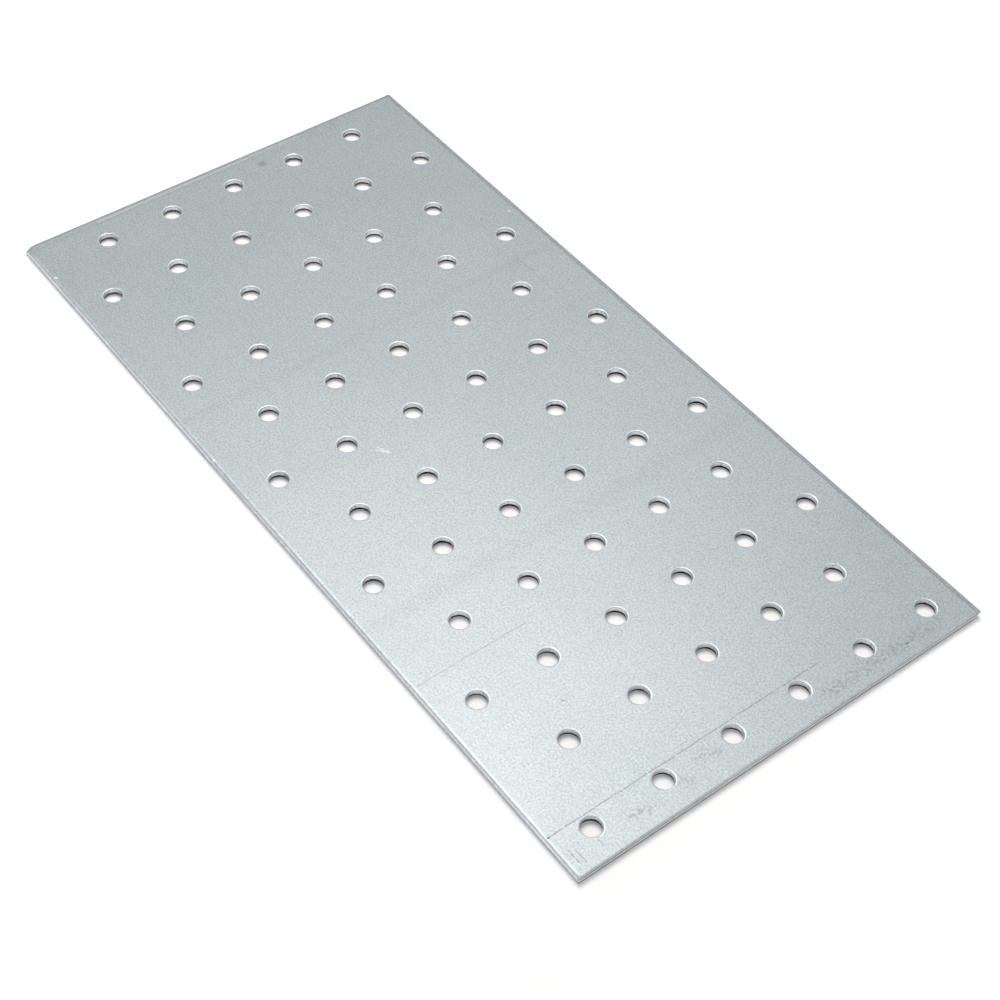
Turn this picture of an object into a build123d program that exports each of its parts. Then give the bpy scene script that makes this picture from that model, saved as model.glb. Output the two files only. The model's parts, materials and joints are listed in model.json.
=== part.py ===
from build123d import *
from math import atan, degrees
import os

# Sheet steel blank, cut from a punched strip
plate_length = 238.0
plate_width = 120.0
sheet_thickness = 2.0

# Nail holes, in rows across the plate that shift by half a spacing from row to row
hole_diameter = 5.0
hole_spacing = 20.0
row_spacing = 20.0
first_row_margin = 9.8
least_hole_margin = 5.0

# Sheared rim of the plate: rolled upper edge, smooth band, then a torn band that falls back
rim_roll_radius = 0.3
smooth_band_depth = 1.2
torn_band_setback = 0.1


def sheared_blank():
    """The flat plate before punching, with its smooth band over the torn one."""
    torn_band_height = sheet_thickness - smooth_band_depth
    torn_slope = degrees(atan(torn_band_setback / torn_band_height))
    smooth_outline = Plane.XY.offset(torn_band_height) * Rectangle(plate_length, plate_width)
    smooth_layer = extrude(smooth_outline, amount=smooth_band_depth)
    torn_layer = extrude(smooth_outline, amount=torn_band_height, dir=(0, 0, -1), taper=torn_slope)
    blank = smooth_layer + torn_layer
    upper_edges = blank.faces().sort_by(Axis.Z)[-1].edges()
    return fillet(upper_edges, radius=rim_roll_radius)


def hole_places():
    """Centres of the nail holes: short and long rows by turns, as many as the plate holds."""
    room_for_rows = plate_length - first_row_margin - least_hole_margin
    row_count = int(room_for_rows // row_spacing) + 1
    room_for_holes = plate_width - 2 * least_hole_margin
    long_row_holes = int(room_for_holes // hole_spacing) + 1
    places = []
    for row in range(row_count):
        row_x = -plate_length / 2 + first_row_margin + row * row_spacing
        holes_in_row = long_row_holes if row % 2 else long_row_holes - 1
        first_hole_y = -(holes_in_row - 1) / 2 * hole_spacing
        for hole in range(holes_in_row):
            places.append(Pos(row_x, first_hole_y + hole * hole_spacing))
    return places


def punched_holes():
    """The space inside every nail hole, from the underside to the upper face."""
    hole_outline = Circle(hole_diameter / 2)
    hole_space = extrude(hole_outline, amount=sheet_thickness)
    return [place * hole_space for place in hole_places()]


plate = sheared_blank() - punched_holes()
plate.label = "plate"

os.makedirs("parts", exist_ok=True)
export_step(plate, "parts/plate.step")
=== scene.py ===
"""Dresses the mending plate: rolled and torn edges, punched holes and a dull zinc coat."""

import json
import math

import bmesh
import bpy
from bpy.props import FloatProperty, FloatVectorProperty, IntProperty, PointerProperty
from mathutils import Matrix, Vector, kdtree, noise


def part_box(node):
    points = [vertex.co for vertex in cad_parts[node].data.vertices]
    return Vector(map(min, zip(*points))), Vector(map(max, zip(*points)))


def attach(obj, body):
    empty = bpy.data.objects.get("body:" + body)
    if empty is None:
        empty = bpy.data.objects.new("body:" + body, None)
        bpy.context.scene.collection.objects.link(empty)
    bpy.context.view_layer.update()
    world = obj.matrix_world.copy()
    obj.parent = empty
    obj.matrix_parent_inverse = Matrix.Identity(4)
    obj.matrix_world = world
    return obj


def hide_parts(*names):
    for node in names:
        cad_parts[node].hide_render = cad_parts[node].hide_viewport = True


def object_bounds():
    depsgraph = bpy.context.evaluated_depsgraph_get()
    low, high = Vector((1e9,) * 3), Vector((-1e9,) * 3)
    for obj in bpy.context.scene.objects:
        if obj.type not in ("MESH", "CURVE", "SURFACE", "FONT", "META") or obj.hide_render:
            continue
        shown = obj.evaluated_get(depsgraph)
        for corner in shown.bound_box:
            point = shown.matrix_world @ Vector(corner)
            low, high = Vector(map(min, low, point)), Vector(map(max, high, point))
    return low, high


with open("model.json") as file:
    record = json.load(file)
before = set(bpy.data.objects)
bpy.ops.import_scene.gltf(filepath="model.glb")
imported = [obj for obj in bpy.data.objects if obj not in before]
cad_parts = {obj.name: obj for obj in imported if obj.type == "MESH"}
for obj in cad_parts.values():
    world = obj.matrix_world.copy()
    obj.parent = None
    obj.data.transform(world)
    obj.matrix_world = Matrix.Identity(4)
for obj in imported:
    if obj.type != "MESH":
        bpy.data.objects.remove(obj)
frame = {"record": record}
cad_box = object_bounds()

bl_info = {
    "name": "Mending Plate",
    "version": (1, 0, 0),
    "blender": (4, 5, 0),
    "location": "3D View > Sidebar > Mending Plate",
    "description": "Builds a punched, zinc-coated mending plate and the stage it lies on",
    "category": "Add Mesh",
}

MILLIMETRE = 0.001
NODE_NAME = "plate"
BODY_NAME = "root"


def length_property(name, millimetres, description):
    """A length, with its default in millimetres."""
    return FloatProperty(
        name=name, description=description, default=millimetres * MILLIMETRE, unit="LENGTH"
    )


def colour_property(name, red_green_blue, description):
    """A colour, with its default as linear red, green and blue."""
    return FloatVectorProperty(
        name=name, description=description, default=red_green_blue, size=3, subtype="COLOR"
    )


class HoleSizes(bpy.types.PropertyGroup):
    """The section that the punch leaves in a nail hole"""

    segments: IntProperty(name="Segments", description="Faces round one hole", default=48, min=16)
    roll_width: length_property(
        "Roll width", 0.45, "How far the drawn-in mouth reaches beyond the hole"
    )
    roll_depth: length_property("Roll depth", 0.20, "How far the mouth is drawn in")
    smooth_depth: length_property(
        "Smooth depth", 1.18, "Depth at which the smooth wall breaks into the torn one"
    )
    tear_width: length_property("Tear width", 0.17, "How much wider the hole is at the underside")
    break_wander: length_property(
        "Break wander", 0.10, "How far the line where the wall breaks strays up and down"
    )
    break_spread: length_property(
        "Break spread", 0.16, "How far the smooth depth differs from hole to hole"
    )


class RimSizes(bpy.types.PropertyGroup):
    """The section that the shear leaves along the plate's rim"""

    far_roll: length_property("Far roll", 1.20, "Width of the rolled edge at the -X end")
    near_roll: length_property("Near roll", 0.50, "Width of the rolled edge at the +X end")
    left_roll: length_property("Left roll", 0.90, "Width of the rolled edge along the -Y side")
    right_roll: length_property("Right roll", 1.00, "Width of the rolled edge along the +Y side")
    roll_depth: length_property("Roll depth", 0.24, "How far the upper edge is drawn down")
    smooth_depth: length_property(
        "Smooth depth", 1.20, "Depth at which the smooth band breaks into the torn one"
    )
    tear_width: length_property(
        "Tear width", 0.04, "How far the torn band falls back at the underside"
    )
    break_wander: length_property(
        "Break wander", 0.12, "How far the line where the band breaks strays up and down"
    )
    droop: FloatProperty(
        name="Droop",
        description="How far the far left corner's tip is pressed down, of the thickness",
        default=0.62,
        min=0.0,
        max=0.95,
    )
    droop_length: length_property(
        "Droop length", 3.9, "Length of the pressed-down tip along the plate"
    )
    droop_width: length_property(
        "Droop width", 2.2, "Width of the pressed-down tip across the plate"
    )
    undercut: length_property(
        "Undercut", 0.20, "How far the near right corner falls back at the underside"
    )


class PlateColours(bpy.types.PropertyGroup):
    """Colours of the coat and of the cut metal"""

    cool_zinc: colour_property(
        "Cool zinc", (0.334, 0.383, 0.392), "The dull zinc coat where it is greenish"
    )
    warm_zinc: colour_property(
        "Warm zinc", (0.362, 0.392, 0.408), "The dull zinc coat where it is more neutral"
    )
    worn_zinc: colour_property("Worn zinc", (0.60, 0.64, 0.66), "Zinc burnished along edges")
    # The scratch colour also paints shade: in the crease at the near end and along the far and
    # right rolls.
    scratch: colour_property("Scratch", (0.10, 0.11, 0.12), "Bottom of a dark scratch")
    # The chip colour also paints highlights: on the cut's lip and along the ridge beside the far
    # roll.
    chip_and_highlight: colour_property("Chip", (0.92, 0.94, 0.96), "Fresh metal in a light scratch")
    smooth_hole: colour_property("Smooth hole", (0.60, 0.63, 0.67), "Metal burnished by the punch")
    # Painted light: the rim's smooth steel is set lighter than the same steel in the holes.
    lit_smooth_rim: colour_property("Smooth rim", (0.72, 0.76, 0.81), "Metal burnished by the shear")
    # Painted light and shade: torn steel is dark at the near end and set lighter on the sides and
    # in the far holes.
    shaded_torn_steel: colour_property(
        "Torn end", (0.22, 0.24, 0.26), "Metal torn by the shear at the plate's near end"
    )
    lit_torn_steel: colour_property(
        "Torn side", (0.56, 0.58, 0.60), "Metal torn by the shear elsewhere, smeared with zinc"
    )
    # Painted shade: the torn steel inside the holes is set nearly black.
    shaded_torn_hole: colour_property("Torn hole", (0.020, 0.020, 0.022), "Metal torn by the punch")


class StageSettings(bpy.types.PropertyGroup):
    """The floor, the lamp and the camera"""

    lamp_power: FloatProperty(
        name="Lamp power", description="Power of the soft lamp", default=1.85
    )
    fill_power: FloatProperty(
        name="Fill power",
        description="Power of the lamp that only lights matt surfaces",
        default=4.6,
    )
    lamp_size: FloatProperty(
        name="Lamp size", description="Side of the soft lamp", default=0.45, unit="LENGTH"
    )
    lamp_place: FloatVectorProperty(
        name="Lamp place",
        description="Centre of the soft lamp",
        default=(-0.28, 0.16, 0.80),
        subtype="TRANSLATION",
    )
    lamp_colour: colour_property("Lamp colour", (1.0, 0.955, 0.93), "Colour of the soft lamp")
    sky_strength: FloatProperty(
        name="Sky strength", description="Light from all round", default=0.60
    )
    floor_grey: FloatProperty(
        name="Floor grey", description="How much light the floor gives back", default=0.76
    )
    near_lift: FloatProperty(
        name="Near lift",
        description="Light added to the floor's white beside the plate",
        default=0.10,
    )
    far_lift: FloatProperty(
        name="Far lift",
        description="Light added to the floor's white far from the plate",
        default=0.60,
    )
    lens: FloatProperty(name="Lens", description="Focal length in millimetres", default=68.49)
    lens_shift: FloatProperty(
        name="Lens shift", description="Sideways shift of the picture", default=0.025
    )
    camera_place: FloatVectorProperty(
        name="Camera place",
        description="Where the camera stands",
        default=(0.25938, -0.20491, 0.34678),
        subtype="TRANSLATION",
    )
    camera_turn: FloatVectorProperty(
        name="Camera turn",
        description="The camera's turn about X, Y and Z",
        default=(math.radians(41.24), math.radians(-1.696), math.radians(53.105)),
        subtype="EULER",
    )


# Nail holes and outline, from the frame


def nail_hole_centres():
    """Centres of the nail holes, from the corners of the record's bolt patterns."""
    centres = []
    for mount in frame["record"]["mounts"]:
        if mount["kind"] != "bolt_pattern":
            continue
        middle = Vector(mount["pos_m"])
        half_x = mount["dims"].get("spacing_x_mm", 0.0) * MILLIMETRE / 2
        half_y = mount["dims"].get("spacing_y_mm", 0.0) * MILLIMETRE / 2
        for x in sorted({middle.x - half_x, middle.x + half_x}):
            for y in sorted({middle.y - half_y, middle.y + half_y}):
                centres.append(Vector((x, y, 0.0)))
    return sorted(centres, key=lambda centre: (round(centre.x, 6), centre.y))


def nail_hole_radius():
    """The radius of the nail holes, from the first bolt pattern in the record."""
    patterns = [m for m in frame["record"]["mounts"] if m["kind"] == "bolt_pattern"]
    return patterns[0]["dims"]["hole_r_mm"] * MILLIMETRE


def hole_rows(centres):
    """The hole centres grouped by row across the plate."""
    rows = {}
    for centre in centres:
        rows.setdefault(round(centre.x, 6), []).append(centre)
    return [rows[x] for x in sorted(rows)]


class Lattice:
    """The square cells, one round each hole, that the plate's faces are laid out in."""

    def __init__(self, rim):
        self.low, self.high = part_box(NODE_NAME)
        self.thickness = self.high.z - self.low.z
        self.centres = nail_hole_centres()
        self.rows = hole_rows(self.centres)
        self.pitch = self.rows[1][0].x - self.rows[0][0].x
        self.half_cell = self.pitch / 2
        self.last_y = max(centre.y for centre in self.centres)
        self.rim = rim
        self.nearest = kdtree.KDTree(len(self.centres))
        for index, centre in enumerate(self.centres):
            self.nearest.insert(centre, index)
        self.nearest.balance()

    def nearest_hole(self, place):
        """The centre of the nearest nail hole, and how far away it is across the plate."""
        centre, _, distance = self.nearest.find(Vector((place.x, place.y, 0.0)))
        return centre, distance

    def in_hole(self, place):
        """Whether a place belongs to a nail hole, and not to the outline of its cell."""
        return self.nearest_hole(place)[1] < HOLE_REACH

    def fitted(self, place, roll_share, tear):
        """A nominal place with the outermost half cells drawn in to the rim, less its setback."""
        x = place.x
        y = place.y
        first_x = self.rows[0][0].x
        last_x = self.rows[-1][0].x
        if x < first_x:
            edge_x = self.low.x + self.rim.far_roll * roll_share + tear
            x = first_x - (first_x - x) / self.half_cell * (first_x - edge_x)
        if x > last_x:
            edge_x = self.high.x - self.rim.near_roll * roll_share - tear
            x = last_x + (x - last_x) / self.half_cell * (edge_x - last_x)
        if abs(y) > self.last_y:
            roll = self.rim.left_roll if y < 0 else self.rim.right_roll
            edge_y = self.high.y - roll * roll_share - tear
            reach = (abs(y) - self.last_y) / self.half_cell
            y = math.copysign(self.last_y + reach * (edge_y - self.last_y), y)
        return Vector((x, y, place.z))


# The plate's mesh

# Rings in a rolled edge, the flat ring kept round a hole's mouth, the ledge where a cut starts
# to tear, the reach of a hole's own vertices from its centre, and the gap that a merge closes
ROLL_STEPS = 6
GUARD_RING = 0.25 * MILLIMETRE
TEAR_LEDGE = 0.05 * MILLIMETRE
HOLE_REACH = 5.0 * MILLIMETRE
MERGE_DISTANCE = 0.002 * MILLIMETRE

# Shares of the tear's width at its ledge, and at two shares of the torn height below it
LEDGE_TEAR = 0.25
TORN_RINGS = ((0.35, 0.55), (0.70, 0.85))

# How deep a roll reaches, in its own depths, with some room for its last ring
WHOLE_ROLL = 1.1


def wall_section(sizes, thickness):
    """Rings down a cut wall: the depth, and the shares of the roll's and tear's widths there."""
    section = []
    for step in range(ROLL_STEPS + 1):
        angle = math.pi / 2 * step / ROLL_STEPS
        section.append((sizes.roll_depth * (1 - math.cos(angle)), 1 - math.sin(angle), 0.0))
    torn_height = thickness - sizes.smooth_depth
    section.append(((sizes.roll_depth + sizes.smooth_depth) / 2, 0.0, 0.0))
    section.append((sizes.smooth_depth, 0.0, 0.0))
    section.append((sizes.smooth_depth + TEAR_LEDGE, 0.0, LEDGE_TEAR))
    for height_share, tear_share in TORN_RINGS:
        section.append((sizes.smooth_depth + torn_height * height_share, 0.0, tear_share))
    section.append((thickness, 0.0, 1.0))
    return section


def square_place(angle, half):
    """The point of a square outline that a turn by this angle reaches, evenly along each side."""
    side = round(angle / (math.pi / 2))
    along = (angle - side * math.pi / 2) / (math.pi / 4)
    corner = Vector((half, half * along, 0.0))
    return Matrix.Rotation(side * math.pi / 2, 3, "Z") @ corner


def spin_hole(bm, lattice, centre, sizes):
    """One nail hole with the cell round it: the section is spun and its outer rings squared."""
    radius = nail_hole_radius()
    section = [(lattice.half_cell, 0.0), (radius + sizes.roll_width + GUARD_RING, 0.0)]
    for depth, roll_share, tear_share in wall_section(sizes, lattice.thickness):
        setback = roll_share * sizes.roll_width + tear_share * sizes.tear_width
        section.append((radius + setback, depth))
    section.append((lattice.half_cell, lattice.thickness))
    verts = []
    for reach, depth in section:
        verts.append(bm.verts.new((centre.x + reach, centre.y, lattice.thickness - depth)))
    edges = [bm.edges.new(pair) for pair in zip(verts, verts[1:])]
    bmesh.ops.spin(
        bm,
        geom=verts + edges,
        cent=centre,
        axis=(0.0, 0.0, 1.0),
        dvec=(0.0, 0.0, 0.0),
        angle=2 * math.pi,
        steps=sizes.segments,
        use_merge=True,
        use_normal_flip=False,
        use_duplicate=False,
    )
    for vert in bm.verts:
        arm = Vector((vert.co.x - centre.x, vert.co.y - centre.y, 0.0))
        if arm.length > HOLE_REACH:
            placed = centre + square_place(math.atan2(arm.y, arm.x), lattice.half_cell)
            vert.co = Vector((placed.x, placed.y, vert.co.z))


def plate_mesh_with_holes(lattice, sizes):
    """All the cells of the plate, with plain patches where a short row leaves its ends bare."""
    bm = bmesh.new()
    for centre in lattice.centres:
        cell = bmesh.new()
        spin_hole(cell, lattice, centre, sizes)
        scrap = bpy.data.meshes.new("cell")
        cell.to_mesh(scrap)
        cell.free()
        bm.from_mesh(scrap)
        bpy.data.meshes.remove(scrap)
    segments_per_side = sizes.segments // 4
    for row in lattice.rows:
        bare = lattice.last_y - row[-1].y
        if bare < lattice.half_cell / 2:
            continue
        for side in (-1, 1):
            middle_y = side * (lattice.last_y + lattice.half_cell - bare / 2)
            for level in (0.0, lattice.thickness):
                place = Matrix.Translation((row[0].x, middle_y, level))
                stretch = Matrix.Diagonal((lattice.half_cell, bare / 2, 1.0, 1.0))
                bmesh.ops.create_grid(
                    bm,
                    x_segments=segments_per_side,
                    y_segments=segments_per_side // 2,
                    size=1.0,
                    matrix=place @ stretch,
                )
    bmesh.ops.remove_doubles(bm, verts=bm.verts, dist=MERGE_DISTANCE)
    return bm


def extrude_rim(bm, lattice, section):
    """Draws the upper outline down through the rim's section until it meets the underside's."""
    middle = lattice.thickness / 2
    edges = [e for e in bm.edges if e.is_boundary and e.verts[0].co.z > middle]
    for depth, _, _ in section[1:]:
        grown = bmesh.ops.extrude_edge_only(bm, edges=edges)["geom"]
        edges = [g for g in grown if isinstance(g, bmesh.types.BMEdge) and g.is_boundary]
        for vert in grown:
            if isinstance(vert, bmesh.types.BMVert):
                vert.co.z = lattice.thickness - depth
    bmesh.ops.remove_doubles(bm, verts=bm.verts, dist=MERGE_DISTANCE)


def shares_at(section, depth):
    """The shares of the roll's and the tear's width that the rim is set back at this depth."""
    for upper, lower in zip(section, section[1:]):
        if upper[0] <= depth <= lower[0]:
            share = (depth - upper[0]) / (lower[0] - upper[0])
            roll_share = upper[1] + (lower[1] - upper[1]) * share
            tear_share = upper[2] + (lower[2] - upper[2]) * share
            return roll_share, tear_share
    return section[-1][1], section[-1][2]


def fit_to_rim(bm, lattice, section):
    """Brings the nominal cells to the plate's real outline."""
    for vert in bm.verts:
        if not lattice.in_hole(vert.co):
            depth = max(0.0, min(lattice.thickness, lattice.thickness - vert.co.z))
            roll_share, tear_share = shares_at(section, depth)
            vert.co = lattice.fitted(vert.co, roll_share, tear_share * lattice.rim.tear_width)


# Distances over which cuts change: along a hole's break, along the rim's, from hole to hole,
# beside a break and down a torn face; then how deep torn faces are pitted
HOLE_WANDER = 1.1 * MILLIMETRE
RIM_WANDER = 3.5 * MILLIMETRE
HOLE_TO_HOLE = 45.0 * MILLIMETRE
BREAK_REACH = 0.5 * MILLIMETRE
PIT_HEIGHT = 0.5 * MILLIMETRE
PIT_DEPTH = 0.05 * MILLIMETRE
NOISE_GAIN = 1.6


def wander_at(place, size, seed):
    """A smooth random value, about -1 to 1, that only changes along the plate."""
    return noise.noise(Vector((place.x / size, place.y / size, seed))) * NOISE_GAIN


def roughen_cuts(bm, lattice, hole, rim):
    """Lets the line where each cut breaks wander, and makes its torn part uneven."""
    bm.normal_update()
    moves = []
    for vert in bm.verts:
        depth = lattice.thickness - vert.co.z
        centre, distance = lattice.nearest_hole(vert.co)
        in_hole = distance < HOLE_REACH
        sizes = hole if in_hole else rim
        at_underside = depth > lattice.thickness - MERGE_DISTANCE
        if depth < sizes.roll_depth * WHOLE_ROLL or at_underside:
            continue
        size = HOLE_WANDER if in_hole else RIM_WANDER
        nearness = max(0.0, 1 - abs(depth - sizes.smooth_depth) / BREAK_REACH)
        stray = wander_at(vert.co, size, 0.0) * sizes.break_wander
        if in_hole:
            stray += wander_at(centre, HOLE_TO_HOLE, 5.0) * hole.break_spread
        move = Vector((0.0, 0.0, stray * nearness))
        if depth > sizes.smooth_depth + MERGE_DISTANCE:
            pit = (0.5 + 0.5 * wander_at(vert.co, size / 3, depth / PIT_HEIGHT)) * PIT_DEPTH
            move -= Vector((vert.normal.x, vert.normal.y, 0.0)) * pit
        moves.append((vert, move))
    for vert, move in moves:
        vert.co += move


# How sharply the pressed-down tip bends along and across the plate, and how far the undercut of
# the near right corner reaches
BEND_ALONG = 1.2
BEND_ACROSS = 1.5
UNDERCUT_REACH = 1.0 * MILLIMETRE


def press_down_tip(bm, lattice, rim):
    """Presses the tip of the far left corner down, with the wall below it."""
    for vert in bm.verts:
        along = max(0.0, 1 - (vert.co.x - lattice.low.x) / rim.droop_length)
        across = max(0.0, 1 - (vert.co.y - lattice.low.y) / rim.droop_width)
        vert.co.z *= 1 - rim.droop * along**BEND_ALONG * across**BEND_ACROSS


def undercut_tip(bm, lattice, rim):
    """Lets the edge of the near right corner fall back below its roll."""
    for vert in bm.verts:
        depth = lattice.thickness - vert.co.z
        off_x = lattice.high.x - vert.co.x
        off_y = lattice.high.y - vert.co.y
        below_roll = depth > rim.roll_depth * WHOLE_ROLL
        if below_roll and max(off_x, off_y) < UNDERCUT_REACH:
            move = rim.undercut * depth / lattice.thickness
            vert.co.x -= move
            vert.co.y -= move


# How upright the normals of flat and of coated faces are, and the least angle of a sharp edge
FLAT_NORMAL = 0.99999
COATED_NORMAL = 0.9
SHARP_ANGLE = math.radians(28)


def mark_sharp_edges(bm):
    """Makes an edge sharp where a flat face meets a round one, or where two faces meet steeply."""
    for edge in bm.edges:
        edge.smooth = True
        if len(edge.link_faces) != 2:
            continue
        first, second = edge.link_faces
        first_flat = abs(first.normal.z) > FLAT_NORMAL
        second_flat = abs(second.normal.z) > FLAT_NORMAL
        if first_flat != second_flat or first.normal.angle(second.normal) > SHARP_ANGLE:
            edge.smooth = False


def assign_finishes(bm, lattice, hole, rim):
    """Material index by place: 0 coat, 1 and 2 smooth and torn in a hole, 3 and 4 at the rim."""
    for face in bm.faces:
        face.smooth = True
        middle = face.calc_center_median()
        depth = lattice.thickness - middle.z
        in_hole = lattice.in_hole(middle)
        sizes = hole if in_hole else rim
        if abs(face.normal.z) > COATED_NORMAL or depth < sizes.roll_depth:
            face.material_index = 0
        elif depth < sizes.smooth_depth:
            face.material_index = 1 if in_hole else 3
        else:
            face.material_index = 2 if in_hole else 4


# The point attribute that holds the wear of rolled edges, and its values
WEAR_LAYER = "edge_wear"
HOLE_WEAR = 1.0
# On the near end and the left side the wear is raised, as painted sheen on those rolls.
NEAR_RIM_WEAR_AND_SHEEN = 0.45
FAR_RIM_WEAR = 0.15


def mark_edge_wear(bm, lattice, hole, rim):
    """Writes the wear of rolled edges, which fades to 0 on the flat beside them. On the near end
    and the left side it is raised, as painted sheen.
    """
    layer = bm.verts.layers.float.new(WEAR_LAYER)
    for vert in bm.verts:
        depth = lattice.thickness - vert.co.z
        in_hole = lattice.in_hole(vert.co)
        roll_depth = hole.roll_depth if in_hole else rim.roll_depth
        if not MERGE_DISTANCE < depth < roll_depth * WHOLE_ROLL:
            continue
        on_left = vert.co.y - lattice.low.y < rim.left_roll
        on_near = lattice.high.x - vert.co.x < rim.near_roll
        if in_hole:
            vert[layer] = HOLE_WEAR
        else:
            vert[layer] = NEAR_RIM_WEAR_AND_SHEEN if on_left or on_near else FAR_RIM_WEAR


# Node trees


def add_node(tree, kind, place, inputs=None, **settings):
    """A node at this place. Its inputs get values, or links from other nodes' sockets."""
    node = tree.nodes.new(kind)
    node.location = place
    for name, value in settings.items():
        setattr(node, name, value)
    for name, value in (inputs or {}).items():
        if isinstance(value, bpy.types.NodeSocket):
            tree.links.new(value, node.inputs[name])
        else:
            node.inputs[name].default_value = value
    return node


def maths(tree, place, operation, *values):
    """The result of a Math node on these values or sockets."""
    inputs = dict(enumerate(values))
    return add_node(tree, "ShaderNodeMath", place, inputs, operation=operation).outputs[0]


def mapped(tree, place, value, low, high, new_low, new_high, clamp=True):
    """The value stretched from one range to another."""
    inputs = {0: value, 1: low, 2: high, 3: new_low, 4: new_high}
    return add_node(tree, "ShaderNodeMapRange", place, inputs, clamp=clamp).outputs[0]


def product(tree, place, first, second):
    """Two masks multiplied, or one made weaker."""
    return maths(tree, place, "MULTIPLY", first, second)


def rgba(colour):
    """A colour's socket as it is, or three numbers with a full alpha."""
    return colour if isinstance(colour, bpy.types.NodeSocket) else (*colour, 1.0)


def mixed(tree, place, factor, first, second):
    """Two colours, or sockets of colours, mixed by a factor."""
    inputs = {0: factor, 6: rgba(first), 7: rgba(second)}
    return add_node(tree, "ShaderNodeMix", place, inputs, data_type="RGBA").outputs[2]


def weighted_sum(tree, place, start, terms):
    """The start value plus each term's value times its weight."""
    total = start
    for step, (value, weight) in enumerate(terms):
        step_place = (place[0] + 180 * step, place[1])
        total = maths(tree, step_place, "MULTIPLY_ADD", value, weight, total)
    return total


def new_group(name, inputs, output_kind):
    """An empty node group with these inputs (name: default value) and one output, Result."""
    group = bpy.data.node_groups.new(name, "ShaderNodeTree")
    for title, value in inputs.items():
        kind = "NodeSocketVector" if isinstance(value, tuple) else "NodeSocketFloat"
        socket = group.interface.new_socket(title, in_out="INPUT", socket_type=kind)
        socket.default_value = value
    group.interface.new_socket("Result", in_out="OUTPUT", socket_type=output_kind)
    start = add_node(group, "NodeGroupInput", (-1000, 0))
    end = add_node(group, "NodeGroupOutput", (1000, 0))
    return group, start.outputs, end.inputs["Result"]


def speckle_group():
    """Random mottling of a given size, about -1 to 1."""
    inputs = {"Coordinates": (0.0, 0.0, 0.0), "Size": 0.001, "Detail": 2.0}
    group, given, result = new_group("Speckle", inputs, "NodeSocketFloat")
    scale = maths(group, (-800, -100), "DIVIDE", 1.0, given["Size"])
    grain_inputs = {
        "Vector": given["Coordinates"],
        "Scale": scale,
        "Detail": given["Detail"],
        "Roughness": 0.6,
    }
    grain = add_node(group, "ShaderNodeTexNoise", (-500, 0), grain_inputs)
    spread = mapped(group, (-200, 0), grain.outputs[0], 0.3, 0.7, -1.0, 1.0, clamp=False)
    group.links.new(spread, result)
    return group


def patches_group():
    """Ragged patches, 0 to 1, that cover a given share of the surface."""
    inputs = {"Coordinates": (0.0, 0.0, 0.0), "Size": 0.001, "Cover": 0.5}
    group, given, result = new_group("Patches", inputs, "NodeSocketFloat")
    scale = maths(group, (-800, -100), "DIVIDE", 1.0, given["Size"])
    grain_inputs = {"Vector": given["Coordinates"], "Scale": scale, "Detail": 3.0}
    grain = add_node(group, "ShaderNodeTexNoise", (-500, 0), grain_inputs)
    level = mapped(group, (-500, -300), given["Cover"], 0.0, 1.0, 0.70, 0.30)
    above = maths(group, (-250, 0), "SUBTRACT", grain.outputs[0], level)
    group.links.new(mapped(group, (0, 0), above, -0.04, 0.04, 0.0, 1.0), result)
    return group


def stroke_group():
    """A soft line from start to end across the plate. Equal ends make a spot."""
    inputs = {
        "Coordinates": (0.0, 0.0, 0.0),
        "Start": (0.0, 0.0, 0.0),
        "End": (0.0, 0.0, 0.0),
        "Half Width": 0.0001,
    }
    group, given, result = new_group("Stroke", inputs, "NodeSocketFloat")

    def vectors(place, operation, first, second, output=0):
        node = add_node(
            group, "ShaderNodeVectorMath", place, {0: first, 1: second}, operation=operation
        )
        return node.outputs[output]

    flat = vectors((-800, 0), "MULTIPLY", given["Coordinates"], (1.0, 1.0, 0.0))
    arm = vectors((-600, 100), "SUBTRACT", flat, given["Start"])
    line = vectors((-600, -100), "SUBTRACT", given["End"], given["Start"])
    along = vectors((-400, 100), "DOT_PRODUCT", arm, line, 1)
    length = vectors((-400, -100), "DOT_PRODUCT", line, line, 1)
    share = maths(group, (-200, 0), "DIVIDE", along, length)
    held = mapped(group, (0, 0), share, 0.0, 1.0, 0.0, 1.0)
    reach = add_node(group, "ShaderNodeVectorMath", (200, 0), {0: line}, operation="SCALE")
    group.links.new(held, reach.inputs["Scale"])
    gap = vectors((400, 0), "DISTANCE", arm, reach.outputs[0], 1)
    near = maths(group, (600, 0), "DIVIDE", gap, given["Half Width"])
    group.links.new(mapped(group, (800, 0), near, 0.4, 1.0, 1.0, 0.0), result)
    return group


def level_line_group():
    """A thin line round the plate at one height, 0 to 1, that strays a little."""
    inputs = {"Coordinates": (0.0, 0.0, 0.0), "Height": 0.0, "Half Width": 0.0001}
    group, given, result = new_group("Level line", inputs, "NodeSocketFloat")
    stray_inputs = {"Vector": given["Coordinates"], "Scale": 400.0, "Detail": 2.0}
    stray = add_node(group, "ShaderNodeTexNoise", (-800, -200), stray_inputs)
    height = add_node(group, "ShaderNodeSeparateXYZ", (-800, 0), {0: given["Coordinates"]})
    off = maths(group, (-600, 0), "SUBTRACT", height.outputs["Z"], given["Height"])
    strayed = weighted_sum(group, (-400, 0), off, ((stray.outputs[0], 0.0001),))
    gap = maths(group, (-200, 0), "ABSOLUTE", strayed)
    near = maths(group, (0, 0), "DIVIDE", gap, given["Half Width"])
    line = mapped(group, (200, 0), near, 0.4, 1.0, 1.0, 0.0)
    group.links.new(line, result)
    return group


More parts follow.
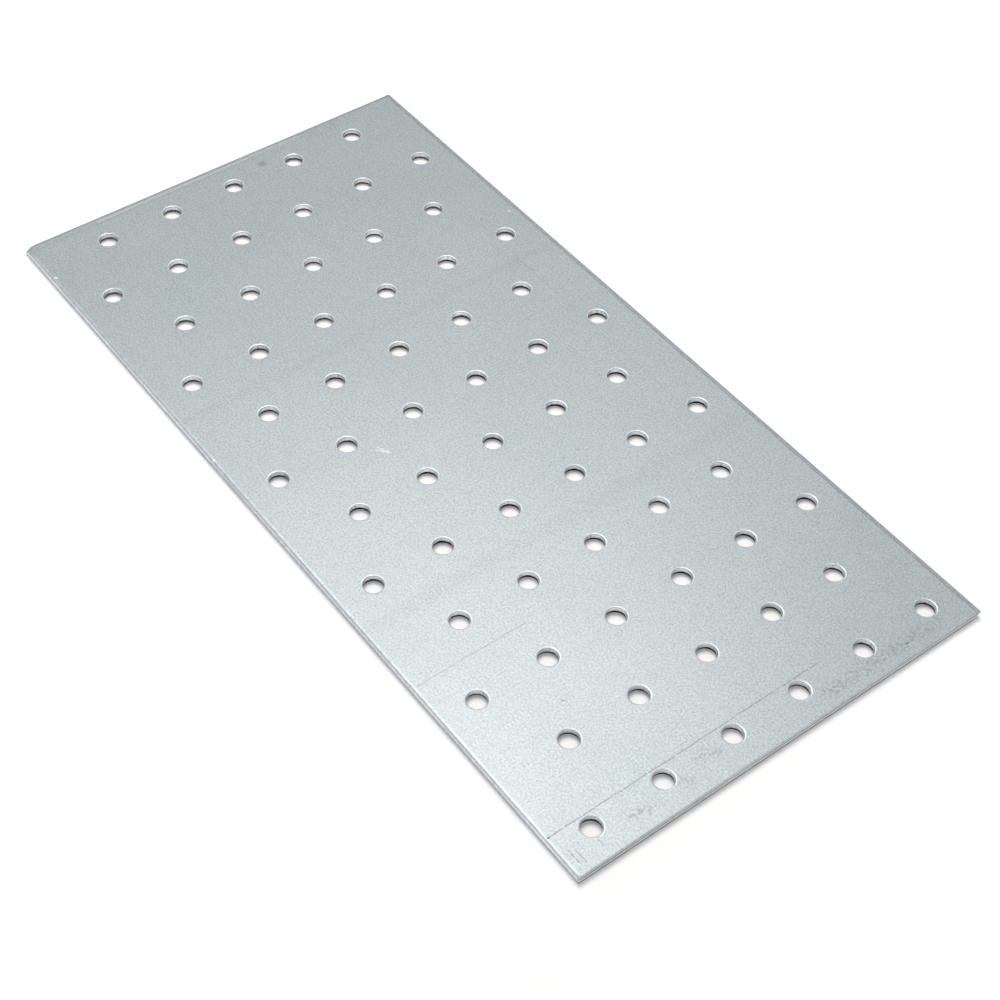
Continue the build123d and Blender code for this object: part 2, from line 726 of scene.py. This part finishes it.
def edge_wear_group():
    """Burnished patches along rolled edges, 0 to 1."""
    inputs = {"Coordinates": (0.0, 0.0, 0.0)}
    group, given, result = new_group("Edge wear", inputs, "NodeSocketFloat")
    wear = add_node(group, "ShaderNodeAttribute", (-800, 200), attribute_name=WEAR_LAYER)
    grain_inputs = {"Vector": given["Coordinates"], "Scale": 450.0, "Detail": 3.0}
    grain = add_node(group, "ShaderNodeTexNoise", (-800, -100), grain_inputs)
    patchy = mapped(group, (-500, -100), grain.outputs[0], 0.32, 0.6, 0.35, 1.0)
    group.links.new(maths(group, (-200, 0), "MULTIPLY", wear.outputs["Fac"], patchy), result)
    return group


GROUP_BUILDERS = (
    speckle_group,
    patches_group,
    stroke_group,
    level_line_group,
    edge_wear_group,
)


def use_group(tree, place, name, **inputs):
    """The result of a shared node group, whose input names have underscores for spaces."""
    node = add_node(tree, "ShaderNodeGroup", place, node_tree=bpy.data.node_groups[name])
    for title, value in inputs.items():
        socket = node.inputs[title.replace("_", " ")]
        if isinstance(value, bpy.types.NodeSocket):
            tree.links.new(value, socket)
        else:
            socket.default_value = value
    return node.outputs["Result"]


def speckle(tree, place, coordinates, size, detail=2.0):
    """Random mottling of this size, about -1 to 1."""
    return use_group(tree, place, "Speckle", Coordinates=coordinates, Size=size, Detail=detail)


def patches(tree, place, coordinates, size, cover):
    """Ragged patches of this size, 0 to 1, that cover this share of the surface."""
    return use_group(tree, place, "Patches", Coordinates=coordinates, Size=size, Cover=cover)


def level_line(tree, place, coordinates, height, half_width):
    """A thin line round the plate at this height, 0 to 1."""
    inputs = {"Coordinates": coordinates, "Height": height, "Half_Width": half_width}
    return use_group(tree, place, "Level line", **inputs)


def new_material(name, metallic):
    """A material with a plain Principled shader: its tree, shader and Object coordinates."""
    material = bpy.data.materials.new(name)
    material.use_nodes = True
    tree = material.node_tree
    shader = tree.nodes["Principled BSDF"]
    shader.inputs["Metallic"].default_value = metallic
    coordinates = add_node(tree, "ShaderNodeTexCoord", (-1800, 0)).outputs["Object"]
    return material, tree, shader, coordinates


def scaled_colour(tree, place, colour, brightness):
    """The colour times a brightness, both sockets."""
    node = add_node(tree, "ShaderNodeVectorMath", place, {0: colour}, operation="SCALE")
    tree.links.new(brightness, node.inputs["Scale"])
    return node.outputs[0]


def finish_shader(tree, shader, colour, roughness, height, bump_strength, bump_distance):
    """Links the shader's colour and roughness, and its height through a bump."""
    bump = add_node(tree, "ShaderNodeBump", (-250, -400), {"Height": height})
    bump.inputs["Strength"].default_value = bump_strength
    bump.inputs["Distance"].default_value = bump_distance
    tree.links.new(colour, shader.inputs["Base Color"])
    tree.links.new(roughness, shader.inputs["Roughness"])
    tree.links.new(bump.outputs[0], shader.inputs["Normal"])


# The zinc coat, and the marks on its upper face: start and end from the plate's middle and half
# width, all in millimetres, and strength. Equal ends make a spot.
COAT_ROUGHNESS = 0.40
HALF_HEIGHT = cad_box[1][2] / 2
MARK_STRAY = 0.5 * MILLIMETRE

DARK_MARKS_AND_SHADE = (
    ((107.9, -59.0), (107.9, 19.0), 0.14, 0.60),
    ((107.9, -58.8), (107.9, -58.8), 0.40, 0.60),
    ((60.4, -58.5), (60.4, -28.0), 0.12, 0.40),
    ((-38.7, -60.0), (-38.7, 60.0), 1.80, 0.05),
    ((41.3, -60.0), (41.3, 60.0), 3.20, 0.045),
    ((-112.6, 12.0), (-112.6, 12.0), 1.60, 0.40),
    # Painted shade: a dark line along the far roll, and a faint crease beside it.
    ((-118.3, -60.0), (-118.3, 60.0), 0.80, 0.26),
    ((-116.3, -60.0), (-116.3, 10.0), 0.50, 0.12),
    # Painted shade: two dark lines along the right roll.
    ((-119.0, 59.45), (119.0, 59.45), 0.95, 0.22),
    ((-119.0, 59.10), (119.0, 59.10), 0.18, 0.25),
    ((115.8, 38.6), (115.8, 39.8), 0.25, 0.55),
    ((112.5, -57.4), (116.5, -57.2), 0.13, 0.55),
    ((113.4, -56.1), (116.9, -55.9), 0.12, 0.50),
    ((112.2, -54.6), (115.0, -54.5), 0.11, 0.40),
    ((114.0, -50.6), (116.6, -50.4), 0.13, 0.45),
    ((-83.2, -37.0), (-83.2, -37.0), 0.35, 0.50),
    ((-57.7, 48.5), (-57.7, 48.5), 0.35, 0.50),
    ((-66.2, -7.4), (-66.2, -7.4), 0.30, 0.45),
    ((25.6, 6.8), (25.6, 6.8), 0.30, 0.50),
    ((25.6, 11.1), (25.6, 11.1), 0.30, 0.50),
    ((25.6, 15.8), (25.6, 15.8), 0.30, 0.50),
    ((-60.0, 47.0), (80.0, 47.3), 0.35, 0.07),
    ((82.1, -34.7), (82.5, -34.2), 0.35, 0.35),
)
SCUFFS = (
    ((-115.8, 12.0), (-115.8, 44.0), 2.60, 0.15),
    ((115.2, 15.0), (115.2, 50.0), 2.40, 0.26),
    ((113.6, -41.3), (114.9, -38.0), 1.80, 0.30),
    ((110.2, -20.0), (112.6, -15.8), 1.80, 0.28),
    ((112.8, -28.5), (114.2, -25.0), 1.50, 0.20),
)
CHIPS_AND_HIGHLIGHT = (
    # Painted highlight: a light line on the ridge beside the far roll.
    ((-117.2, -38.0), (-117.2, 27.0), 0.70, 0.10),
    ((-103.6, -58.9), (-103.4, -58.7), 0.48, 1.0),
    ((-23.3, -59.3), (-23.3, -59.3), 0.50, 0.80),
    ((-56.2, 57.0), (-56.2, 57.0), 0.40, 0.60),
    ((-3.4, -25.0), (-1.0, -23.2), 0.14, 0.50),
    ((-2.8, -24.0), (-0.6, -22.6), 0.12, 0.50),
    ((-4.0, -24.6), (-2.4, -23.2), 0.12, 0.40),
    ((107.2, -47.0), (109.4, -44.0), 0.14, 0.12),
)


def marked(tree, place, coordinates, marks):
    """Where the marks are on the upper face, 0 to 1."""
    total = 0.0
    for step, (start, end, half_width, strength) in enumerate(marks):
        mask = use_group(
            tree,
            (place[0] + 180 * step, place[1]),
            "Stroke",
            Coordinates=coordinates,
            Start=(start[0] * MILLIMETRE, start[1] * MILLIMETRE, 0.0),
            End=(end[0] * MILLIMETRE, end[1] * MILLIMETRE, 0.0),
            Half_Width=half_width * MILLIMETRE,
        )
        sum_place = (place[0] + 180 * step, place[1] - 200)
        total = maths(tree, sum_place, "MULTIPLY_ADD", mask, strength, total)
    parts = add_node(tree, "ShaderNodeSeparateXYZ", (place[0], place[1] - 400), {0: coordinates})
    upper_place = (place[0] + 180, place[1] - 400)
    upper = maths(tree, upper_place, "GREATER_THAN", parts.outputs["Z"], HALF_HEIGHT)
    return product(tree, (place[0] + 360, place[1] - 400), total, upper)


def coat_marks(tree, coordinates):
    """Where the coat is dark, from scratches, scuffs and painted shade along the far and right
    rolls, and where it is chipped, with one painted highlight by the far roll, 0 to 1, with ragged
    and broken outlines.
    """
    stray_inputs = {"Vector": coordinates, "Scale": 250.0}
    stray = add_node(tree, "ShaderNodeTexNoise", (-1500, -100), stray_inputs)
    inputs = {0: stray.outputs["Color"], 1: (MARK_STRAY, MARK_STRAY, 0.0), 2: coordinates}
    strayed = add_node(
        tree, "ShaderNodeVectorMath", (-1300, -100), inputs, operation="MULTIPLY_ADD"
    ).outputs[0]
    unbroken = patches(tree, (-1500, -300), coordinates, 0.9 * MILLIMETRE, 0.82)
    speckled = patches(tree, (-1500, -450), coordinates, 0.8 * MILLIMETRE, 0.40)
    scratches_and_shade = marked(tree, (-1100, -1000), strayed, DARK_MARKS_AND_SHADE)
    scuffs = marked(tree, (-1100, -1300), strayed, SCUFFS)
    chips_and_highlight = marked(tree, (-1100, -1600), strayed, CHIPS_AND_HIGHLIGHT)
    broken = product(tree, (-1000, -300), scratches_and_shade, unbroken)
    dark = maths(tree, (-850, -300), "MULTIPLY_ADD", scuffs, speckled, broken)
    return dark, product(tree, (-850, -450), chips_and_highlight, unbroken)


def zinc_coat_material(colours):
    """Dull zinc: mottled at several sizes, with clouds of two tints, marks and worn edges."""
    material, tree, shader, coordinates = new_material("Dull zinc coat", 1.0)
    grain = speckle(tree, (-1500, 600), coordinates, 0.50 * MILLIMETRE, detail=3.0)
    mottling = speckle(tree, (-1500, 450), coordinates, 2.5 * MILLIMETRE)
    clouds = speckle(tree, (-1500, 300), coordinates, 22 * MILLIMETRE, detail=3.0)
    tints = speckle(tree, (-1500, 150), coordinates, 60 * MILLIMETRE)
    wear = use_group(tree, (-900, -600), "Edge wear", Coordinates=coordinates)
    dark, chipped_and_highlit = coat_marks(tree, coordinates)

    tint_share = mapped(tree, (-1200, 150), tints, -1.0, 1.0, 0.0, 1.0)
    zinc = mixed(tree, (-1000, 150), tint_share, colours.cool_zinc, colours.warm_zinc)
    brightness_terms = ((grain, 0.24), (mottling, 0.028), (clouds, 0.010))
    brightness = weighted_sum(tree, (-1200, 450), 1.0, brightness_terms)
    mottled = scaled_colour(tree, (-650, 300), zinc, brightness)
    worn_share = product(tree, (-650, 0), wear, 0.7)
    worn = mixed(tree, (-500, 250), worn_share, mottled, colours.worn_zinc)
    # Scratches, scuffs, and painted shade along the far and right rolls
    marked_zinc = mixed(tree, (-350, 250), dark, worn, colours.scratch)
    # Chips, and a painted highlight beside the far roll
    colour = mixed(tree, (-200, 250), chipped_and_highlit, marked_zinc, colours.chip_and_highlight)

    roughness_terms = ((grain, 0.02), (clouds, 0.01), (wear, -0.06), (dark, 0.15))
    roughness = weighted_sum(tree, (-900, 700), COAT_ROUGHNESS, roughness_terms)
    height = weighted_sum(tree, (-900, 900), 0.0, ((grain, 0.5), (mottling, 0.25)))
    finish_shader(tree, shader, colour, roughness, height, 0.35, 0.004 * MILLIMETRE)
    return material


# Cut steel, and the places of the painted shade in the crease and the painted highlight on the lip
# along the rim
HOLE_ROUGHNESS = 0.28
RIM_ROUGHNESS = 0.50
TORN_ROUGHNESS = 0.68
CREASE_SHADE_HEIGHT = 1.47 * MILLIMETRE
LIP_HIGHLIGHT_HEIGHT = 0.78 * MILLIMETRE
NEAR_END = cad_box[1][0] - 0.5 * MILLIMETRE
FAR_HOLES = -90.0 * MILLIMETRE


def cut_coordinates(tree, coordinates):
    """Coordinates squashed upwards, so that a texture runs in streaks down the cut."""
    inputs = {0: coordinates, 1: (1.0, 1.0, 0.08)}
    node = add_node(tree, "ShaderNodeVectorMath", (-1600, -200), inputs, operation="MULTIPLY")
    return node.outputs[0]


def at_near_end(tree, place, coordinates):
    """1 on the cut at the +X end, 0 elsewhere."""
    parts = add_node(tree, "ShaderNodeSeparateXYZ", place, {0: coordinates})
    return maths(tree, (place[0] + 180, place[1]), "GREATER_THAN", parts.outputs["X"], NEAR_END)


def painted_lip_highlight(tree, place, coordinates):
    """A painted highlight along the lip where a smooth band breaks, 0 to 1 and lightest at the
    near end.
    """
    line = level_line(tree, place, coordinates, LIP_HIGHLIGHT_HEIGHT, 0.38 * MILLIMETRE)
    near_end = at_near_end(tree, (place[0] - 200, place[1] - 200), coordinates)
    share = mapped(tree, (place[0] + 200, place[1] - 200), near_end, 0.0, 1.0, 0.35, 1.0)
    return product(tree, (place[0] + 400, place[1] - 100), line, share)


def painted_crease_shade(tree, place, coordinates):
    """Painted shade in the crease below the roll at the near end, 0 to 1."""
    line = level_line(tree, place, coordinates, CREASE_SHADE_HEIGHT, 0.36 * MILLIMETRE)
    near_end = at_near_end(tree, (place[0] - 200, place[1] - 200), coordinates)
    return product(tree, (place[0] + 400, place[1] - 100), line, near_end)


def smooth_cut_material(name, colours, smooth_colour, roughness_level):
    """Steel burnished by the tool, with fine streaks down the cut, painted shade in the near end's
    crease and a painted highlight on the lip.
    """
    material, tree, shader, coordinates = new_material(name, 1.0)
    down = cut_coordinates(tree, coordinates)
    clouds = speckle(tree, (-1300, 500), coordinates, 40 * MILLIMETRE)
    streaks = speckle(tree, (-1300, 300), down, 0.30 * MILLIMETRE, detail=3.0)
    bands = speckle(tree, (-1300, 100), down, 2.4 * MILLIMETRE)
    grain = speckle(tree, (-1300, -100), coordinates, 0.12 * MILLIMETRE)
    torn = patches(tree, (-1300, -300), down, 0.8 * MILLIMETRE, 0.16)
    wear = use_group(tree, (-1300, -500), "Edge wear", Coordinates=coordinates)
    crease_shade = painted_crease_shade(tree, (-1300, -700), coordinates)
    lip_highlight = painted_lip_highlight(tree, (-1300, -1000), coordinates)

    brightness_terms = ((streaks, 0.18), (bands, 0.10), (grain, 0.04), (clouds, 0.26))
    brightness = weighted_sum(tree, (-1000, 300), 1.0, brightness_terms)
    plain = mixed(tree, (-1000, 0), wear, smooth_colour, colours.worn_zinc)
    streaked = scaled_colour(tree, (-450, 200), plain, brightness)
    torn_share = product(tree, (-600, -300), torn, 0.4)
    dull = mixed(tree, (-300, 200), torn_share, streaked, colours.shaded_torn_steel)
    # Painted shade in the crease, in the scratch colour
    crease_shade_share = product(tree, (-450, -700), crease_shade, 0.72)
    crease_shaded = mixed(tree, (-150, 200), crease_shade_share, dull, colours.scratch)
    # Painted highlight on the lip
    colour = mixed(tree, (0, 200), lip_highlight, crease_shaded, colours.chip_and_highlight)

    roughness_terms = ((streaks, 0.05), (torn, 0.20))
    roughness = weighted_sum(tree, (-1000, 500), roughness_level, roughness_terms)
    height = weighted_sum(tree, (-1000, 700), 0.0, ((streaks, 0.6), (grain, 0.2), (torn, -1.0)))
    finish_shader(tree, shader, colour, roughness, height, 0.5, 0.008 * MILLIMETRE)
    return material


def torn_colour_in_hole(tree, coordinates, colours):
    """Nearly black as painted shade, and set lighter towards the plate's far end as painted light.
    """
    parts = add_node(tree, "ShaderNodeSeparateXYZ", (-1300, -500), {0: coordinates})
    farness = mapped(tree, (-1100, -500), parts.outputs["X"], FAR_HOLES, 0.0, 0.28, 0.0)
    return mixed(tree, (-900, -500), farness, colours.shaded_torn_hole, colours.lit_torn_steel)


def torn_colour_at_rim(tree, coordinates, colours):
    """Set lighter as painted light, and dark as painted shade at the plate's near end."""
    near_end = at_near_end(tree, (-1300, -500), coordinates)
    return mixed(tree, (-900, -500), near_end, colours.lit_torn_steel, colours.shaded_torn_steel)


def torn_cut_material(name, colours, torn_colour, glint_strength, lip_highlight_strength):
    """Steel torn through: grainy and dull, with smoother patches painted lighter as glints."""
    material, tree, shader, coordinates = new_material(name, 0.8)
    down = cut_coordinates(tree, coordinates)
    grain = speckle(tree, (-1300, 300), coordinates, 0.14 * MILLIMETRE, detail=3.0)
    tears = speckle(tree, (-1300, 100), down, 0.5 * MILLIMETRE)
    glints = patches(tree, (-1300, -100), coordinates, 0.6 * MILLIMETRE, 0.14)
    lip_highlight = painted_lip_highlight(tree, (-1300, -300), coordinates)

    brightness = weighted_sum(tree, (-1000, 300), 1.0, ((grain, 0.25), (tears, 0.25)))
    torn = torn_colour(tree, coordinates, colours)
    grainy = scaled_colour(tree, (-600, 200), torn, brightness)
    # Painted glints: patches set lighter
    glint_share = product(tree, (-700, -100), glints, glint_strength)
    glinted = mixed(tree, (-400, 200), glint_share, grainy, colours.smooth_hole)
    # Painted highlight on the lip of the torn band
    lip_highlight_share = product(tree, (-700, -300), lip_highlight, lip_highlight_strength)
    colour = mixed(tree, (-200, 200), lip_highlight_share, glinted, colours.chip_and_highlight)

    roughness_terms = ((grain, 0.06), (glints, -0.25))
    roughness = weighted_sum(tree, (-1000, 500), TORN_ROUGHNESS, roughness_terms)
    height = weighted_sum(tree, (-1000, 700), 0.0, ((grain, 0.6), (tears, 0.8)))
    finish_shader(tree, shader, colour, roughness, height, 0.8, 0.03 * MILLIMETRE)
    return material


def plate_finishes(colours):
    """The plate's materials, in the order of the faces' material indices."""
    return (
        zinc_coat_material(colours),
        smooth_cut_material("Smooth steel in holes", colours, colours.smooth_hole, HOLE_ROUGHNESS),
        torn_cut_material("Torn steel in holes with painted shade", colours, torn_colour_in_hole, 0.08, 0.0),
        smooth_cut_material("Smooth steel at rim with painted light", colours, colours.lit_smooth_rim, RIM_ROUGHNESS),
        torn_cut_material("Torn steel at rim with painted light and shade", colours, torn_colour_at_rim, 0.4, 0.9),
    )


# Operators


class BuildPlate(bpy.types.Operator):
    """Build the punched plate with its rolled and torn edges, and give it its finishes"""

    bl_idname = "mending_plate.build_plate"
    bl_label = "Build Plate"

    def execute(self, context):
        scene = context.scene
        hole = scene.hole_sizes
        rim = scene.rim_sizes
        lattice = Lattice(rim)
        if len(lattice.rows) < 2:
            raise RuntimeError("the record states too few nail holes to lay out the plate")
        rim_section = wall_section(rim, lattice.thickness)
        bm = plate_mesh_with_holes(lattice, hole)
        extrude_rim(bm, lattice, rim_section)
        fit_to_rim(bm, lattice, rim_section)
        bmesh.ops.recalc_face_normals(bm, faces=bm.faces)
        assign_finishes(bm, lattice, hole, rim)
        mark_edge_wear(bm, lattice, hole, rim)
        mark_sharp_edges(bm)
        roughen_cuts(bm, lattice, hole, rim)
        press_down_tip(bm, lattice, rim)
        undercut_tip(bm, lattice, rim)
        mesh = bpy.data.meshes.new("punched_plate")
        bm.to_mesh(mesh)
        bm.free()
        for build_group in GROUP_BUILDERS:
            build_group()
        for finish in plate_finishes(scene.plate_colours):
            mesh.materials.append(finish)
        piece = bpy.data.objects.new("punched_plate", mesh)
        scene.collection.objects.link(piece)
        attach(piece, BODY_NAME)
        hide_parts(NODE_NAME)
        return {"FINISHED"}


# The floor's size, its gap below the plate, and the distances where its lift starts and ends
FLOOR_HALF_SIZE = 3.0
FLOOR_DROP = 0.08 * MILLIMETRE
LIFT_START = 0.12
LIFT_END = 0.95


def background_seen(tree, place):
    """1 for rays that show the background: straight from the camera, glossy or transmitted."""
    rays = add_node(tree, "ShaderNodeLightPath", place).outputs
    direct_place = (place[0] + 200, place[1])
    direct = maths(tree, direct_place, "MAXIMUM", rays["Is Camera Ray"], rays["Is Glossy Ray"])
    seen_place = (place[0] + 400, place[1])
    return maths(tree, seen_place, "MAXIMUM", direct, rays["Is Transmission Ray"])


def floor_material(settings):
    """Matt white paper that keeps the shadow, lifted to white where the lamps reach less far."""
    material = bpy.data.materials.new("White paper floor")
    material.use_nodes = True
    tree = material.node_tree
    shader = tree.nodes["Principled BSDF"]
    shader.inputs["Base Color"].default_value = (*[settings.floor_grey] * 3, 1.0)
    shader.inputs["Roughness"].default_value = 0.9
    shader.inputs["Specular IOR Level"].default_value = 0.0
    coordinates = add_node(tree, "ShaderNodeTexCoord", (-800, -500)).outputs["Object"]
    reach = add_node(
        tree, "ShaderNodeVectorMath", (-600, -500), {0: coordinates}, operation="LENGTH"
    ).outputs["Value"]
    lifts = (settings.near_lift, settings.far_lift)
    level = mapped(tree, (-400, -500), reach, LIFT_START, LIFT_END, *lifts)
    lift = add_node(tree, "ShaderNodeEmission", (0, -200), {"Color": level, "Strength": 1.0})
    none = add_node(tree, "ShaderNodeEmission", (0, -350), {"Strength": 0.0})
    choice = add_node(tree, "ShaderNodeMixShader", (200, -200))
    both = add_node(tree, "ShaderNodeAddShader", (400, 0))
    tree.links.new(background_seen(tree, (-600, -200)), choice.inputs["Fac"])
    tree.links.new(none.outputs[0], choice.inputs[1])
    tree.links.new(lift.outputs[0], choice.inputs[2])
    tree.links.new(shader.outputs[0], both.inputs[0])
    tree.links.new(choice.outputs[0], both.inputs[1])
    tree.links.new(both.outputs[0], tree.nodes["Material Output"].inputs["Surface"])
    return material


def build_floor(scene, settings):
    """The white floor just below the plate."""
    bm = bmesh.new()
    bmesh.ops.create_grid(
        bm,
        x_segments=1,
        y_segments=1,
        size=FLOOR_HALF_SIZE,
        matrix=Matrix.Translation((0.0, 0.0, -FLOOR_DROP)),
    )
    mesh = bpy.data.meshes.new("floor")
    bm.to_mesh(mesh)
    bm.free()
    mesh.materials.append(floor_material(settings))
    floor = bpy.data.objects.new("floor", mesh)
    scene.collection.objects.link(floor)


def build_sky(scene, settings):
    """Even light from all round, which shows as plain white background."""
    world = bpy.data.worlds.new("Soft sky")
    world.use_nodes = True
    tree = world.node_tree
    light = tree.nodes["Background"]
    light.inputs["Color"].default_value = (1.0, 1.0, 1.0, 1.0)
    light.inputs["Strength"].default_value = settings.sky_strength
    white_inputs = {"Color": (1.0, 1.0, 1.0, 1.0), "Strength": 1.0}
    white = add_node(tree, "ShaderNodeBackground", (0, -200), white_inputs)
    choice = add_node(tree, "ShaderNodeMixShader", (300, 0))
    tree.links.new(background_seen(tree, (-600, 200)), choice.inputs["Fac"])
    tree.links.new(light.outputs[0], choice.inputs[1])
    tree.links.new(white.outputs[0], choice.inputs[2])
    tree.links.new(choice.outputs[0], tree.nodes["World Output"].inputs["Surface"])
    scene.world = world


def build_lamp(scene, settings, name, power):
    """A square soft lamp that shines at the plate's middle."""
    data = bpy.data.lights.new(name, "AREA")
    data.shape = "SQUARE"
    data.size = settings.lamp_size
    data.energy = power
    data.color = settings.lamp_colour
    lamp = bpy.data.objects.new(name, data)
    lamp.location = settings.lamp_place
    lamp.rotation_mode = "QUATERNION"
    lamp.rotation_quaternion = (-lamp.location).to_track_quat("-Z", "Y")
    scene.collection.objects.link(lamp)
    return lamp


def build_camera(scene, settings):
    """The camera, at the photograph's angle."""
    data = bpy.data.cameras.new("camera")
    data.lens = settings.lens
    data.shift_x = settings.lens_shift
    data.clip_start = 0.01
    data.dof.use_dof = False
    camera = bpy.data.objects.new("camera", data)
    camera.location = settings.camera_place
    camera.rotation_euler = settings.camera_turn
    scene.collection.objects.link(camera)
    scene.camera = camera


class BuildStage(bpy.types.Operator):
    """Build the white floor, the soft light and the camera"""

    bl_idname = "mending_plate.build_stage"
    bl_label = "Build Stage"

    def execute(self, context):
        scene = context.scene
        settings = scene.stage_settings
        build_floor(scene, settings)
        build_sky(scene, settings)
        build_lamp(scene, settings, "soft_lamp", settings.lamp_power)
        fill = build_lamp(scene, settings, "fill_lamp", settings.fill_power)
        fill.visible_glossy = False
        build_camera(scene, settings)
        scene.view_settings.view_transform = "Standard"
        return {"FINISHED"}


class PlatePanel(bpy.types.Panel):
    """Lists the plate's sizes and the steps that build it"""

    bl_idname = "VIEW3D_PT_mending_plate"
    bl_label = "Mending Plate"
    bl_space_type = "VIEW_3D"
    bl_region_type = "UI"
    bl_category = "Mending Plate"

    def draw(self, context):
        layout = self.layout
        for group in GROUPS:
            settings = getattr(context.scene, group)
            for name in settings.__annotations__:
                layout.prop(settings, name)
        for operator in (BuildStage, BuildPlate):
            layout.operator(operator.bl_idname)


GROUPS = {
    "hole_sizes": HoleSizes,
    "rim_sizes": RimSizes,
    "plate_colours": PlateColours,
    "stage_settings": StageSettings,
}
CLASSES = (*GROUPS.values(), BuildStage, BuildPlate, PlatePanel)


def register():
    for cls in CLASSES:
        bpy.utils.register_class(cls)
    for name, cls in GROUPS.items():
        setattr(bpy.types.Scene, name, PointerProperty(type=cls))


def unregister():
    for name in GROUPS:
        delattr(bpy.types.Scene, name)
    for cls in reversed(CLASSES):
        bpy.utils.unregister_class(cls)


def main():
    register()
    bpy.ops.mending_plate.build_stage()
    bpy.ops.mending_plate.build_plate()


if __name__ == "__main__":
    main()
